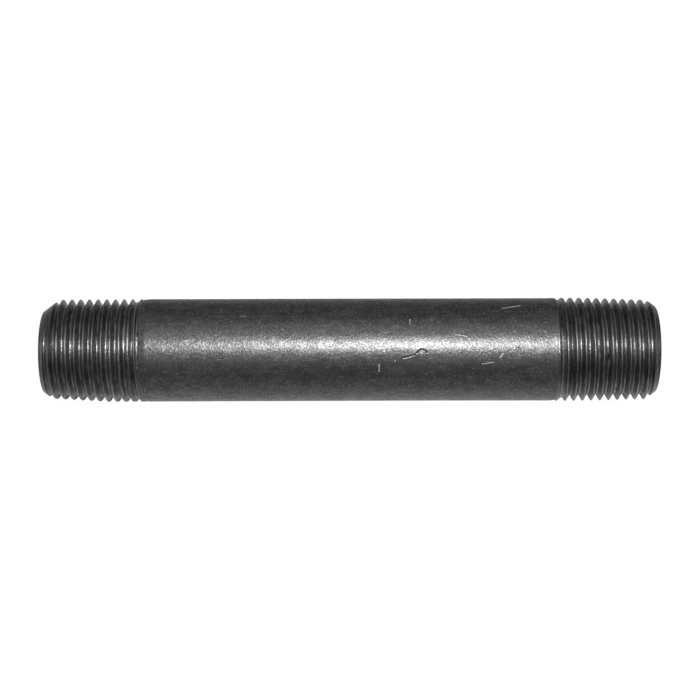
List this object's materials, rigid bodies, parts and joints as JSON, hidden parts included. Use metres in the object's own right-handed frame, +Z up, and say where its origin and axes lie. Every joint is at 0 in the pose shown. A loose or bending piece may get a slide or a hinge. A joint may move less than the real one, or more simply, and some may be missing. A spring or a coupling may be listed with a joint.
{
  "type": "threaded pipe nipple",
  "caption": "Straight black steel pipe nipple with a tapered right-hand pipe thread and a chamfered mouth at each end, a plain barrel between them and an open bore right through.",
  "frame": {"origin": "on the pipe's axis, halfway between its end faces", "axes": "+X along the pipe's axis, from the left end to the right end; +Z up as the pipe lies on its side"},
  "size_m": [0.127, 0.0214, 0.0214],
  "materials": {
    "black_pipe_skin": "satin",
    "cut_thread": "satin",
    "weld_seam": "matte"
  },
  "bodies": {
    "root": {"barrel": "black_pipe_skin", "left_threaded_end": "cut_thread", "right_threaded_end": "cut_thread", "weld_bead": "weld_seam"}
  },
  "joints": []
}
